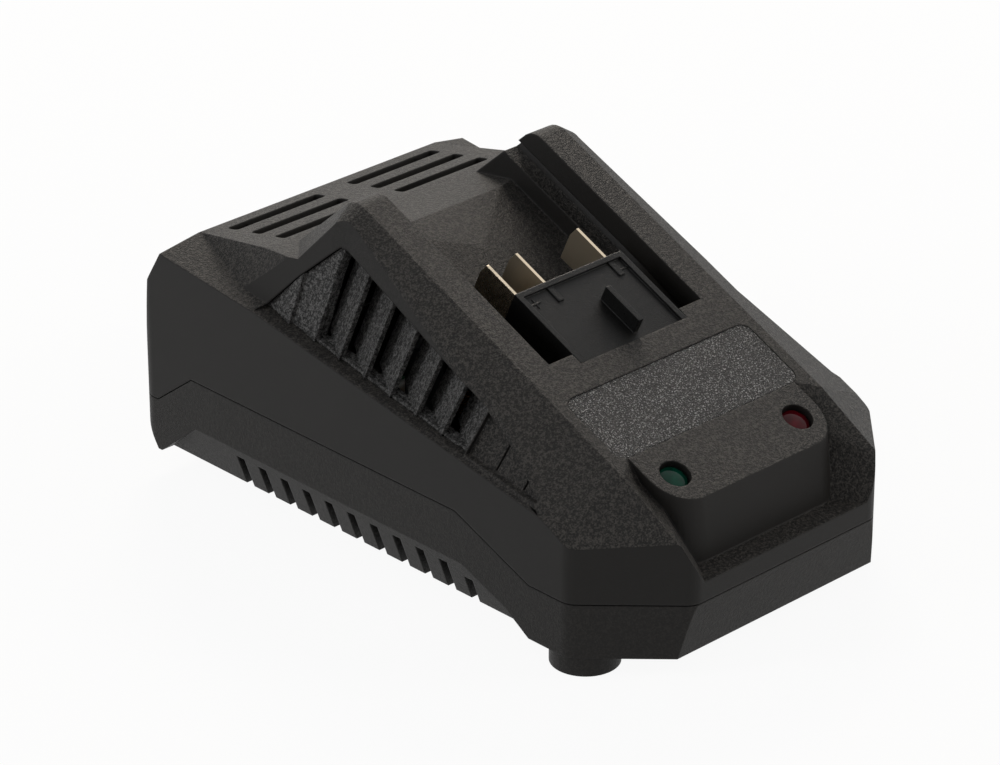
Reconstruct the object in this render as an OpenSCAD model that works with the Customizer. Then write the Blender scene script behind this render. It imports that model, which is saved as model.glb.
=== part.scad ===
// Slide-dock charger for a power tool battery: two moulded casing halves, louvred side
// grilles, a lipped battery dock with a terminal block, and the electronics inside.
// Millimetres. X is the width, +Y is the rear, +Z is up. The feet rest on Z = 0.

/* [Casing] */
// Width over the two side walls
body_w = 104; // [100:0.5:110]
// Depth from the front face to the rear face
body_d = 175; // [171:0.5:184]
// Wall of both casing halves
wall = 2.5; // [2:0.1:3]
// Radius of the upright corners
corner_r = 5; // [4:0.5:8]
// Length of each front corner chamfer, measured along X and along Y
front_chamfer = 21; // [18:0.5:24]
// Height of the joint between the casing halves at the front and rear
joint_low = 19.4; // [18.4:0.2:20.4]
// Height of the same joint where it is raised along the sides
joint_high = 29.5; // [27:0.5:31]
// Height of the side walls at the rear end of the grilles
side_h = 56.8; // [54:0.2:58]
// Rise of the side walls' top edges towards the rear, in degrees
side_angle = 10.2; // [9:0.1:11.5]
// Height of the rear deck's back edge
deck_h = 63.4; // [62:0.2:66]
// Fall of the rear deck towards the rear, in degrees
deck_angle = 11.5; // [10:0.1:13]
// Height of the ledge in front of the status lens housing
front_ledge_h = 24.6; // [23.5:0.1:26]
// Gap between mating mouldings
fit_gap = 0.15; // [0.1:0.05:0.25]

/* [Battery dock] */
// Tilt of the dock face from level
dock_angle = 24.3; // [23:0.1:25.5]
// Distance from the front face to the lower edge of the label
dock_front = 24.9; // [23.5:0.1:27]
// Height of the lower edge of the label
dock_height = 47.8; // [46.5:0.1:50]
// Width between the inner edges of the rails
rail_gap = 52; // [50:0.5:54]
// Width over the creases along the rail tops
rail_span = 68; // [66:0.5:70]
// Thickness of the rail lips
lip_t = 6.2; // [5:0.1:7]
// Depth of the rail grooves under the lips, measured sideways
groove_d = 4.5; // [3.5:0.1:5]
// Height of the rail grooves
groove_h = 6.3; // [5.5:0.1:6.8]
// Place of the dock's front stop, along the dock face
dock_stop = 31.8; // [30.5:0.1:33.5]
// Depth of the dock floor at its middle ridge
floor_depth = 14.7; // [14:0.1:16]
// Fall of the dock floor towards each side, in degrees
floor_fall = 6.8; // [4:0.1:8]
// Place of the dock floor's rear ridge, behind the label's lower edge
floor_peak = 78.2; // [75:0.2:81]
// Place of the rails' peak, along the dock face
rail_peak = 96.3; // [94:0.1:98]
// Slope of the rails' back faces, in degrees
rail_back_angle = 41.3; // [39:0.1:44]
// Radius of the rails' peak
rail_peak_r = 6; // [4:0.5:8]
// Fall of the facets outside the rails, in degrees
facet_angle = 33; // [31:0.5:35]

/* [Terminal block] */
// Width of the terminal block
block_w = 36; // [34:0.5:38]
// Length of the terminal block along the dock face
block_l = 24.8; // [23:0.1:26]
// Place of the terminal block's front face, along the dock face
block_place = 28.7; // [27.5:0.1:29.5]
// Height of the terminal block above its flange
block_h = 24.5; // [24:0.1:26]
// Width of the raised rim round the top of the block
rim_w = 1.5; // [1.2:0.1:2.2]
// Thickness of the contact blades
blade_t = 0.8; // [0.6:0.1:1]
// Length of blade that stands free behind the block
blade_free = 12; // [10:0.5:13]
// Height of the free part of the blades
blade_h = 10.8; // [9:0.1:11.5]

/* [Label and status lenses] */
// Width of the label recess
label_w = 62; // [56:0.5:64]
// Length of the label recess along the dock face
label_l = 21; // [18:0.1:23]
// Depth of the label recess
label_depth = 0.7; // [0.5:0.1:0.9]
// Corner radius of the label recess
label_r = 3; // [2:0.1:4]
// Width of the status lens housing
pod_w = 57; // [54:0.5:59]
// Distance of the housing's front edge from the label, along the dock face
pod_l = 17.8; // [16:0.1:19]
// Radius of the housing's front corners
pod_r = 9; // [7:0.5:11]
// Lean of the housing's front wall, in degrees
pod_lean = 7.3; // [5:0.1:9]
// Diameter of the status lenses
lens_d = 7; // [6:0.1:7.4]
// Distance of each lens from the middle
lens_x = 21; // [19:0.1:21.6]
// Distance of the lenses from the label, along the dock face
lens_place = 9; // [8:0.1:10]
// Depth of the lens tops under the dock face
lens_sunk = 1; // [0.6:0.1:1.5]

/* [Grilles and vents] */
// Distance between the crests of the side louvres
louvre_pitch = 9.2; // [8.6:0.05:9.6]
// Number of open louvres on each side
louvre_count = 6; // [4:1:6]
// Angle of the louvre slats to the side wall, in degrees
louvre_angle = 27; // [24:0.5:30]
// Thickness of the louvre slats
slat_t = 1.8; // [1.5:0.1:2]
// Length of the slots in the rear deck
deck_slot_l = 29; // [24:0.5:31]
// Width of the slots in the rear deck
deck_slot_w = 2.8; // [2.2:0.1:3]
// Distance between the slots in the rear deck
deck_slot_pitch = 9.1; // [7:0.1:9.5]
// Width of the comb slots low on the sides
comb_slot_w = 2.8; // [2.4:0.1:3.2]
// Distance between the comb slots
comb_pitch = 8.17; // [7.8:0.01:8.4]
// Number of comb slots on each side
comb_count = 11; // [8:1:11]

/* [Feet and fasteners] */
// Height of the moulded feet under the casing floor
foot_h = 5; // [4:0.1:6]
// Diameter of the moulded feet
foot_d = 17.2; // [16:0.1:18]
// Diameter of the casing screws' threads
screw_d = 3; // [2.6:0.1:3.4]
// Diameter of the screw heads
screw_head_d = 6; // [5.4:0.1:6.4]
// Bore of the cable gland
cable_bore = 6.6; // [5.6:0.1:7.4]

/* [Circuit board] */
// Width of the circuit board
board_w = 84; // [80:0.5:86]
// Length of the circuit board
board_l = 110; // [108:0.5:112]
// Thickness of the circuit board
board_t = 1.6; // [1.2:0.1:2]
// Height of the underside of the board
board_z = 13; // [12:0.1:14]

/* [Hidden] */
$fn = 64;

black_plastic = "#2b2a29";
grey_plastic = "#333231";

big = 400;
half_w = body_w / 2;
front_y = -body_d / 2;
rear_y = body_d / 2;
case_floor = foot_h;

// The dock frame starts at the lower edge of the label
dock_y = front_y + dock_front;
dock_slope = tan(dock_angle);
crease_x = rail_span / 2;
lip_x = rail_gap / 2;
groove_x = lip_x + groove_d;
facet_fall = tan(facet_angle);

// ---------- helpers ----------

// Everything on the side of a plane that its normal points to
module half_space(point, normal) {
    turn = [0, acos(normal[2] / norm(normal)), atan2(normal[1], normal[0])];
    translate(point) rotate(turn)
        translate([-big / 2, -big / 2, 0]) cube(big);
}

// Everything above a plane through a point, with its rise along X and along Y,
// after the plane has moved down by e along its normal
module above(point, rise_x, rise_y, e = 0) {
    normal = [-rise_x, -rise_y, 1];
    half_space(point - normal * e / norm(normal), normal);
}

// Convex outline with rounded corners. The centres of its corner circles run
// counter-clockwise.
module rounded_outline(centres, r) {
    n = len(centres);
    polygon(centres);
    for (i = [0:n - 1]) {
        a = centres[i];
        b = centres[(i + 1) % n];
        along = (b - a) / norm(b - a);
        out = [along[1], -along[0]] * r;
        polygon([a, a + out, b + out, b]);
        translate(a) circle(r);
    }
}

// A profile drawn in Y and Z, extruded along X from x0 to x1
module side_extrude(x0, x1) {
    translate([x0, 0, 0])
        rotate([90, 0, 90])
            linear_extrude(x1 - x0) children();
}

// Children drawn in the dock frame: X across, Y up the dock face, Z out of it
module on_dock() {
    translate([0, dock_y, dock_height])
        rotate([dock_angle, 0, 0]) children();
}

module both_sides() {
    children();
    mirror([1, 0, 0]) children();
}

// ---------- form of the casing ----------
// Each form takes an inset e: 0 is the outer skin, wall is the cavity.

// Outline of the casing in plan
module plan(e = 0) {
    r = corner_r;
    side = half_w - r;
    cut = front_chamfer + r * (sqrt(2) - 2);
    rounded_outline([
        [-side, front_y + cut + r], [-side + cut, front_y + r],
        [side - cut, front_y + r], [side, front_y + cut + r],
        [side, rear_y - r], [-side, rear_y - r]
    ], r - e);
}

// Top edge of a side wall at depth y: it bends where the grilles end
side_bend_y = dock_y + 106;
side_rise = tan(side_angle);
side_rear_rise = 0.113;
function side_top(y) =
    side_h + (y - side_bend_y) * (y < side_bend_y ? side_rise : side_rear_rise);

// The ledges that run along the tops of the side walls
ledge_rise = 0.25;
module above_ledges(e) {
    both_sides()
        for (rise = [side_rise, side_rear_rise])
            above([half_w, side_bend_y, side_h], -ledge_rise, rise, e);
}

// The rear deck: a tilted plate with falling sides, and the band in front of it
deck_back_y = rear_y - 11;
deck_fall = -tan(deck_angle);
deck_edge_x = half_w - 12;
deck_front_y = dock_y + 111.5;
deck_front_h = deck_h + (deck_front_y - deck_back_y) * deck_fall;
band_fall = -0.137;
deck_side_fall = 1.85;
deck_side_rise = -0.37;
module above_deck(e) {
    above([0, deck_back_y, deck_h], 0, deck_fall, e);
    above([0, deck_front_y, deck_front_h], 0, band_fall, e);
    both_sides()
        above([deck_edge_x, deck_back_y, deck_h], -deck_side_fall, deck_side_rise, e);
}

// The rear wall leans forward over the joint, and a bevel leads up to the deck
rear_break_h = 51.8;
rear_break_y = rear_y - 4;
module behind_rear(e) {
    lean = [rear_break_y - rear_y, rear_break_h - joint_low];
    bevel = [deck_back_y - rear_break_y, deck_h - rear_break_h];
    half_space([0, rear_y, joint_low] - [0, lean[1], -lean[0]] * e / norm(lean),
               [0, lean[1], -lean[0]]);
    half_space([0, rear_break_y, rear_break_h]
               - [0, bevel[1], -bevel[0]] * e / norm(bevel),
               [0, bevel[1], -bevel[0]]);
}

// The rails' roof: the dock face, a rounded peak and a back face, with facets that
// fall away outside the creases
peak_y = dock_y + rail_peak * cos(dock_angle);
peak_z = dock_height + rail_peak * sin(dock_angle);
back_slope = -tan(rail_back_angle);
back_facet_fall = 0.78;
nose_y = dock_y - 4;
nose_z = dock_height + (nose_y - dock_y) * dock_slope;
nose_fall = 0.684;
nose_rise = 0.589;
peak_steps = 4;
// Tangent point of the peak's rounding where its tangent has the given angle
peak_half = (dock_angle + rail_back_angle) / 2;
peak_centre = [peak_y, peak_z] + rail_peak_r / cos(peak_half)
    * [sin((dock_angle - rail_back_angle) / 2), -cos((dock_angle - rail_back_angle) / 2)];
function peak_point(a) = peak_centre + rail_peak_r * [-sin(a), cos(a)];

module above_rails(e) {
    above([0, dock_y, dock_height], 0, dock_slope, e);
    above([0, peak_y, peak_z], 0, back_slope, e);
    for (i = [1:peak_steps]) {
        a = dock_angle - i * (dock_angle + rail_back_angle) / (peak_steps + 1);
        p = peak_point(a);
        above([0, p[0], p[1]], 0, tan(a), e);
        both_sides()
            above([crease_x, p[0], p[1]], -facet_fall, tan(a), e);
    }
    both_sides() {
        above([crease_x, dock_y, dock_height], -facet_fall, dock_slope, e);
        above([crease_x, peak_y, peak_z], -back_facet_fall, back_slope, e);
        above([crease_x, nose_y, nose_z], -nose_fall, nose_rise, e);
    }
}

// The sloping side of the rail housing. Its upper edge, the brow, lies on the facet
// outside the rail, and its foot stands on the side ledge.
function foot_x(y) = half_w - 3.5 + 0.028 * (dock_y + 87.5 - y);
brow_bend_y = dock_y + 16;
brow_bend_h = dock_height + 2.4;
brow_slope = 0.49;
brow_droop = 0.0105;
function brow_z(y) = brow_bend_h + (y - brow_bend_y) * brow_slope
    - brow_droop * pow(max(0, brow_bend_y - y), 2);
function brow_x(y) = crease_x
    + (dock_height + (y - dock_y) * dock_slope - brow_z(y)) / facet_fall;
rear_lean = 0.3;
max_lean = 1.45;
function side_lean(y) = y > dock_y + 85 ? rear_lean
    : min(max_lean, (foot_x(y) - brow_x(y)) / max(1, brow_z(y) - side_top(y)));
function side_x(y, z) = foot_x(y) - side_lean(y) * (z - side_top(y));
side_stations = [for (s = [-3, 0, 4, 8, 12, 17, 26, 36, 52, 78, 92, 106, 122]) dock_y + s];

// The space outside the sloping side, moved inward by e
module outside_side(e) {
    n = len(side_stations);
    shift = 1.1 * e;
    points = [
        for (y = side_stations)
            let (
                low = side_top(y) - 2 - e,
                high = min(peak_z + 2, side_top(y) + (foot_x(y) - 12) / side_lean(y))
            )
            each [
                [side_x(y, low) - shift, y, low],
                [side_x(y, high) - shift, y, high],
                [big, y, high],
                [big, y, low]
            ]
    ];
    strips = [
        for (i = [0:n - 2])
            for (k = [0:3])
                let (a = 4 * i + k, b = 4 * i + (k + 1) % 4)
                each [[a, b + 4, b], [a, a + 4, b + 4]]
    ];
    caps = [[0, 1, 2, 3], [for (k = [3:-1:0]) 4 * (n - 1) + k]];
    both_sides() polyhedron(points, concat(caps, strips));
}

// Grooves between the rails' front shoulders and the lens housing, and the open
// space over the front ledge
module above_front(e) {
    near = dock_y + 0.2 + e;
    shoulder = [-crease_x, nose_y, nose_z];
    both_sides()
        intersection() {
            translate([-crease_x, near - big, front_ledge_h - e])
                cube([crease_x + 1, big, big]);
            union() {
                intersection() {
                    above(shoulder, -0.567, 1.195, e);
                    above(shoulder, -0.58, nose_rise, e);
                }
                above([-28, front_y + 0.1, front_ledge_h], -1.45, 1, e);
            }
        }
}

// Housing of the status lenses: its top lies in the dock face
pod_edge_y = dock_y - pod_l * cos(dock_angle);
pod_edge_z = dock_height - pod_l * sin(dock_angle);
module pod(e) {
    side = pod_w / 2 - pod_r;
    deep = pod_l + 8;
    difference() {
        translate([0, pod_edge_y, pod_edge_z])
            rotate([-pod_lean, 0, 0])
                translate([0, 0, -30])
                    linear_extrude(60)
                        rounded_outline([
                            [-side, pod_r], [side, pod_r],
                            [side, deep], [-side, deep]
                        ], pod_r - e);
        above([0, dock_y, dock_height], 0, dock_slope, e);
        translate([-big / 2, -big / 2, joint_low - big]) cube(big);
    }
}

// Body of the casing above its floor, without the battery dock
module upper_form(e) {
    difference() {
        union() {
            difference() {
                prism(e);
                above_ledges(e);
                above([0, dock_y, dock_height], 0, dock_slope, e);
                both_sides() {
                    above([crease_x, dock_y, dock_height], -facet_fall, dock_slope, e);
                    above([crease_x, nose_y, nose_z], -nose_fall, nose_rise, e);
                }
            }
            difference() {
                union() {
                    difference() {
                        prism(e);
                        above_rails(e);
                    }
                    difference() {
                        prism(e);
                        translate([-big / 2, dock_y + 85 - big, 0]) cube(big);
                        above_deck(e);
                    }
                }
                outside_side(e);
            }
        }
        behind_rear(e);
        above_front(e);
    }
    pod(e);
}

module prism(e) {
    translate([0, 0, case_floor]) linear_extrude(110) plan(e);
}

// ---------- battery dock ----------

floor_peak_y = dock_y + floor_peak;
floor_peak_z = dock_height + floor_peak * dock_slope - floor_depth / cos(dock_angle);
floor_rear_rise = 0.28;
module above_floor(e) {
    on_dock() both_sides() above([0, 0, -floor_depth], -tan(floor_fall), 0, e);
    above([0, floor_peak_y, floor_peak_z], 0, floor_rear_rise, e);
    above([0, deck_front_y, deck_front_h], 0, band_fall, e);
    above([0, deck_back_y, deck_h], 0, deck_fall, e);
}

// Space of the dock: the trough between the rails and the grooves under their lips.
// A spread moves its walls outward, to leave the casing's wall round it.
module dock_space(spread) {
    intersection() {
        on_dock()
            translate([-lip_x - spread, dock_stop - spread, -60])
                cube([rail_gap + 2 * spread, 200, 120]);
        above_floor(spread);
    }
    low = lip_t + groove_h + spread;
    high = spread > 0 ? low + 60 : groove_h;
    on_dock()
        translate([-groove_x - spread, dock_stop - spread, -low])
            cube([2 * (groove_x + spread), 200, high]);
}

// ---------- joint between the casing halves ----------

joint_gap = 0.3;
joint_line = [
    [front_y - 1, joint_low],
    [front_y + 34, joint_low], [front_y + 59, joint_high],
    [rear_y - 20, joint_high], [rear_y - 6.7, joint_low],
    [rear_y + 1, joint_low]
];
module below_joint(drop) {
    side_extrude(-half_w - 1, half_w + 1)
        translate([0, -drop])
            polygon(concat(joint_line, [[rear_y + 1, -10], [front_y - 1, -10]]));
}

// ---------- side grille openings ----------

// Outline of a grille in side view, grown by a margin
function louvre_top(y) = brow_z(y) - 4 - 0.056 * (y - dock_y - 40);
module grille_outline(margin) {
    front = dock_y + 2 - margin;
    rear = dock_y + 106 + margin;
    polygon([
        [front, side_top(front) + 0.5 - margin],
        [rear, side_top(rear) + 0.1 - margin],
        [dock_y + 97 + margin, dock_height + 19 + margin],
        [dock_y + 85.5 + margin, dock_height + 29.5 + margin],
        [dock_y + 83 - margin, louvre_top(dock_y + 83) + 0.4 + margin],
        for (s = [17, 10, 6]) [dock_y + s - margin, louvre_top(dock_y + s) + margin]
    ]);
}

// ---------- upper casing ----------

pin_places = [[half_w - 9.2, front_y + 24.2], [half_w - 20, rear_y - 25.5]];
lens_hole_d = lens_d + 1;
gland_z = joint_low;
gland_neck_d = 11;
gland_flange_d = 15;
gland_flange_t = 1.3;

module both_lenses() {
    for (side = [-1, 1])
        on_dock() translate([side * lens_x, -lens_place, 0]) children();
}

module label_shape(shrink) {
    r = label_r - shrink;
    x = label_w / 2 - label_r;
    rounded_outline([
        [-x, label_r], [x, label_r], [x, label_l - label_r], [-x, label_l - label_r]
    ], r);
}

module deck_slots() {
    middle = deck_slot_l / 2 + 5.3;
    translate([0, deck_back_y, deck_h])
        rotate([-deck_angle, 0, 0])
            for (i = [0:2], side = [-1, 1])
                translate([side * middle, -6.6 - i * deck_slot_pitch, -8])
                    linear_extrude(16)
                        slot(deck_slot_l, deck_slot_w);
}

module slot(l, w) {
    square([l - w, w], center = true);
    for (side = [-1, 1]) translate([side * (l - w) / 2, 0]) circle(d = w);
}

module upper_casing() color(black_plastic) {
    difference() {
        upper_form(0);
        difference() {
            upper_form(wall);
            dock_space(wall);
            screw_posts();
            block_bosses(boss_d, 0);
        }
        below_joint(0);
        dock_space(0);
        on_dock() {
            translate([-block_w / 2 - fit_gap, block_place - fit_gap, -60])
                cube([block_w + 2 * fit_gap, block_l + 2 * fit_gap, 120]);
            translate([0, 0, -label_depth]) linear_extrude(10) label_shape(0);
        }
        both_lenses() cylinder(h = 20, d = lens_hole_d, center = true);
        deck_slots();
        both_sides()
            side_extrude(groove_x + wall + 0.5, half_w + 5) grille_outline(0);
        for (p = pin_places) both_sides()
            translate([p[0], p[1], 0]) cylinder(h = joint_low + 16, d = screw_d - 0.4);
        block_bosses(block_screw_d - 0.2, 1);
        gland_hole();
    }
}

// Posts that take the casing screws
module screw_posts() {
    for (p = pin_places) both_sides()
        translate([p[0], p[1], 0]) cylinder(h = 100, d = 8);
}

// Bosses under the dock floor that take the terminal block's screws
block_screw_d = 2.4;
block_screw_x = block_w / 2 + 4;
boss_d = 6.5;
boss_top = floor_depth + tan(floor_fall) * (block_screw_x + boss_d / 2) + 0.5;
module block_bosses(d, drop) {
    on_dock() both_sides()
        translate([block_screw_x, block_place + block_l / 2, -block_h + fit_gap - drop])
            cylinder(h = block_h - fit_gap + drop - boss_top, d = d);
}

// Hole for the cable gland, with a shallow seat for its outer flange
module gland_hole() {
    translate([0, rear_y, gland_z])
        rotate([90, 0, 0]) {
            translate([0, 0, -1]) cylinder(h = 15, d = gland_neck_d + 2 * fit_gap);
            translate([0, 0, -1])
                cylinder(h = gland_flange_t + 1, d = gland_flange_d + 2 * fit_gap);
        }
}

// ---------- lower casing ----------

comb_top_h = case_floor + 11;
comb_lean = 4;
comb_front_y = dock_y + 29.7;
module lower_form(e) {
    difference() {
        translate([0, 0, case_floor + e]) linear_extrude(60) plan(e);
        half_space([0, front_y + e, joint_low], [0, -(joint_low - case_floor), -2.8]);
        half_space([0, rear_y - e, joint_low], [0, 7.8, -1.8]);
        half_space([0, rear_y - 1.8 - e, joint_low - 7.8], [0, 6.6, -4.4]);
        both_sides()
            intersection() {
                half_space([half_w - e, 0, comb_top_h], [comb_top_h - case_floor, 0, -comb_lean]);
                side_extrude(0, half_w + 1)
                    translate([0, e]) polygon([
                        [dock_y + 6, case_floor - 2], [dock_y + 17, case_floor + 5.1],
                        [dock_y + 32.4, comb_top_h], [dock_y + 129, comb_top_h],
                        [dock_y + 145, case_floor - 2]
                    ]);
            }
    }
}

module comb_slots() {
    both_sides()
        for (i = [0:comb_count - 1])
            translate([half_w - comb_lean - 6, comb_front_y + i * comb_pitch, 0])
                cube([20, comb_slot_w, comb_top_h - 2.3 - (i == 0 ? 2 : 0)]);
}

board_posts = [for (x = [-1, 1], y = [-1, 1]) [x * (board_w / 2 - 6), y * (board_l / 2 - 6) - 1]];
module lower_casing() color(black_plastic) {
    difference() {
        union() {
            difference() {
                lower_form(0);
                lower_form(wall);
            }
            for (p = pin_places) both_sides()
                translate([p[0], p[1], 0]) {
                    cylinder(h = case_floor + 1, d = foot_d);
                    cylinder(h = joint_low - joint_gap, d = 9);
                }
            for (p = board_posts)
                translate([p[0], p[1], case_floor]) cylinder(h = board_z - case_floor, d = 7);
        }
        difference() {
            translate([-big / 2, -big / 2, 0]) cube(big);
            below_joint(joint_gap);
        }
        comb_slots();
        for (p = pin_places) both_sides()
            translate([p[0], p[1], 0]) {
                cylinder(h = 40, d = screw_d + 0.5);
                translate([0, 0, -1]) cylinder(h = foot_h, d = screw_head_d + 0.6);
            }
        for (p = board_posts)
            translate([p[0], p[1], case_floor + 1]) cylinder(h = 20, d = screw_d - 0.8);
        gland_hole();
    }
}

// ---------- side grilles ----------

grille_t = 2.2;
grille_flange_t = 1.5;
louvre_front_y = dock_y + 87.5;
louvre_lean = -0.12;
// Foot of the crest of louvre k, on the left side
function crest_y(k) = louvre_front_y - k * louvre_pitch;
function crest_point(k, z) = let (y = crest_y(k) + louvre_lean * (z - side_top(crest_y(k))))
    [-side_x(y, z), y, z];

// A convex section in plan, drawn inward (X) and rearward (Y) of crest k, and lofted
// along that crest
module along_crest(k, section) {
    low = side_top(crest_y(k)) - 2.5;
    high = louvre_top(crest_y(k)) + 4;
    hull()
        for (z = [low, high])
            translate(crest_point(k, z)) linear_extrude(0.01) polygon(section);
}

// An open slat: its crest lies in the outer surface, and it runs inward and rearward
slat_l = louvre_pitch * 0.95 / cos(louvre_angle);
module slat(k) {
    run = slat_l * [sin(louvre_angle), cos(louvre_angle)];
    along_crest(k, [[0, 0], [slat_t, 0], run + [slat_t, 0], run]);
}

// A closed louvre: a shallow facet that sinks from its crest to the panel behind it
panel_sink = 1;
module closed_louvre(k) {
    along_crest(k, [[0, 0], [panel_sink + 0.2, 0], [panel_sink + 0.2, louvre_pitch]]);
}

// The layer of the sloping side between two depths under its outer surface
module side_layer(outer, inner) {
    difference() {
        outside_side(inner);
        outside_side(outer);
    }
}

// Outline of the open part of a grille in side view
module louvre_opening() {
    first = crest_y(0);
    last = crest_y(louvre_count);
    polygon([
        [last, side_top(last) + 1],
        [first, side_top(first) + 1],
        [first - 2.6, louvre_top(first) - 1.2],
        [last - 0.6, louvre_top(last) - 1.2]
    ]);
}

module grille() {
    difference() {
        union() {
            intersection() {
                side_layer(panel_sink, grille_t);
                side_extrude(-half_w, -10) grille_outline(-fit_gap);
            }
            intersection() {
                side_layer(wall + fit_gap, wall + fit_gap + grille_flange_t);
                side_extrude(-half_w, -10) grille_outline(1.5);
            }
        }
        side_extrude(-half_w, 0) louvre_opening();
        above([-crease_x, dock_y, dock_height], facet_fall, dock_slope, wall + 2 * fit_gap);
    }
    intersection() {
        union() {
            for (k = [0:louvre_count]) slat(k);
            for (k = [-1, 0, louvre_count + 1, louvre_count + 2]) closed_louvre(k);
        }
        side_extrude(-half_w, -groove_x - wall - 2 * fit_gap) grille_outline(-fit_gap);
    }
}

module side_grille_left() color(grey_plastic) grille();
module side_grille_right() color(grey_plastic) mirror([1, 0, 0]) grille();

// ---------- label and lenses ----------

module front_label() color("#4a4a4c")
    on_dock() translate([0, 0, -label_depth + 0.05])
        linear_extrude(label_depth - 0.15) label_shape(fit_gap);

// A lens: a stem that fills the hole up to a low dome, and a flange behind the wall
lens_h = wall + 1.2;
module lens() {
    dome_r = 12;
    sag = dome_r - sqrt(pow(dome_r, 2) - pow(lens_d / 2, 2));
    intersection() {
        translate([0, 0, -lens_h - lens_sunk]) cylinder(h = lens_h, d = lens_d);
        translate([0, 0, -lens_sunk - dome_r]) sphere(dome_r);
    }
    translate([0, 0, -lens_h - lens_sunk]) cylinder(h = lens_h - wall + lens_sunk - fit_gap, d = lens_d + 3);
}

module lens_at(side) on_dock() translate([side * lens_x, -lens_place, 0]) lens();
module green_status_lens() color("#0a4a35") lens_at(-1);
module red_status_lens() color("#5a1418") lens_at(1);

// ---------- terminal block ----------

blade_xs = [-17.2, -7.6, 13.2];
blade_top = 0.5;
tail_w = 5;
flange_t = 2.5;
tail_h = block_h + flange_t + 2;
block_back = block_place + block_l;
flange_reach = 8;
block_screw_place = block_place + block_l / 2;

module terminal_block() color(black_plastic) on_dock() {
    difference() {
        union() {
            translate([-block_w / 2, block_place, -block_h - flange_t])
                cube([block_w, block_l, block_h + flange_t]);
            translate([-block_w / 2 - flange_reach, block_place, -block_h - flange_t])
                cube([block_w + 2 * flange_reach, block_l + 3, flange_t]);
        }
        translate([-block_w / 2 + rim_w, block_place - 1, -0.8])
            cube([block_w - 2 * rim_w, block_l + 1 - rim_w, 2]);
        for (x = blade_xs) {
            translate([x - blade_t / 2 - 0.05, block_back - 6, -blade_h - blade_top - 0.05])
                cube([blade_t + 0.1, 10, blade_h + 0.1]);
            translate([x - blade_t / 2 - 0.05, block_back - 6, -block_h - flange_t - 1])
                cube([blade_t + 0.1, tail_w + 0.1, block_h]);
        }
        both_sides() translate([block_screw_x, block_screw_place, -block_h - flange_t - 1])
            cylinder(h = flange_t + 2, d = block_screw_d + 0.4);
    }
    translate([2.2, block_place + 2.3, -1.5]) cube([1.5, 12.4, 5]);
}

module blade(x) on_dock() translate([x - blade_t / 2, block_back, -blade_top])
    rotate([90, 0, 90]) linear_extrude(blade_t) polygon([
        [-6, 0], [blade_free - 1, 0], [blade_free, -3], [blade_free, -blade_h],
        [tail_w - 6, -blade_h], [tail_w - 6, -tail_h], [-6, -tail_h]
    ]);
module blade_positive() color("#c9b48a") blade(blade_xs[0]);
module blade_signal() color("#c9b48a") blade(blade_xs[1]);
module blade_negative() color("#c9b48a") blade(blade_xs[2]);

// Leads from the blade tails down to the board
board_top = board_z + board_t;
lead_d = 2;
tail_end = [block_back - 6 + tail_w / 2, -blade_top - tail_h];
lead_y = dock_y + tail_end[0] * cos(dock_angle) - tail_end[1] * sin(dock_angle);
lead_top = dock_height + tail_end[0] * sin(dock_angle) + tail_end[1] * cos(dock_angle);
module terminal_leads() color("#8a2a22")
    for (x = blade_xs)
        translate([x, lead_y, board_top + 0.05])
            cylinder(h = lead_top - board_top - 1.6, d = lead_d);

// ---------- fasteners ----------

// A pan head screw, head down, its head's seat at Z = 0
module screw(d, l, head_d, head_h) {
    difference() {
        translate([0, 0, -head_h]) cylinder(h = head_h, d = head_d);
        translate([0, 0, -head_h - 1]) {
            cube([head_d * 0.55, head_d * 0.15, 2.6], center = true);
            cube([head_d * 0.15, head_d * 0.55, 2.6], center = true);
        }
    }
    cylinder(h = l, d = d);
}

module casing_screws() color("#8d8d90")
    for (p = pin_places) both_sides()
        translate([p[0], p[1], foot_h - 1 - fit_gap])
            screw(screw_d - 0.5, joint_low + 8, screw_head_d, 2.2);

module board_screws() color("#8d8d90")
    for (p = board_posts)
        translate([p[0], p[1], board_top + 0.05])
            rotate([180, 0, 0]) screw(2.1, board_t + 5, 4.6, 1.8);

module terminal_block_screws() color("#8d8d90")
    on_dock() both_sides()
        translate([block_screw_x, block_screw_place, -block_h - flange_t - 0.05])
            screw(block_screw_d - 0.3, flange_t + 5, 5, 1.8);

// ---------- cable gland ----------

gland_l = wall + 3 + gland_flange_t;
module cable_gland() color(black_plastic)
    translate([0, rear_y, gland_z])
        rotate([90, 0, 0])
            difference() {
                union() {
                    cylinder(h = gland_flange_t - fit_gap, d = gland_flange_d);
                    cylinder(h = gland_l, d = gland_neck_d);
                    translate([0, 0, gland_l - gland_flange_t])
                        cylinder(h = gland_flange_t, d = gland_flange_d);
                }
                translate([0, 0, -1]) cylinder(h = gland_l + 2, d = cable_bore);
            }

// ---------- electronics ----------

module circuit_board() color("#2f5d3a")
    difference() {
        translate([-board_w / 2, -board_l / 2 - 1, board_z]) cube([board_w, board_l, board_t]);
        for (p = board_posts)
            translate([p[0], p[1], 0]) cylinder(h = 40, d = 2.6);
    }

seat = board_top + 0.05;

// Places the children on the board
module on_board(x, y) translate([x, y, seat]) children();

core_size = [36, 14, 28];
core_leg = 4;
core_lift = 3;
core_post_d = 10;
transformer_place = [-4, 14];
module transformer_core() color("#3a3a3d")
    on_board(transformer_place[0], transformer_place[1]) translate([0, 0, core_lift]) {
        difference() {
            translate([-core_size[0] / 2, -core_size[1] / 2, 0]) cube(core_size);
            translate([-core_size[0] / 2 + core_leg, -core_size[1], core_leg])
                cube(core_size + [-2 * core_leg, core_size[1], -2 * core_leg]);
        }
        translate([0, 0, 1]) cylinder(h = core_size[2] - 2, d = core_post_d);
    }

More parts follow.
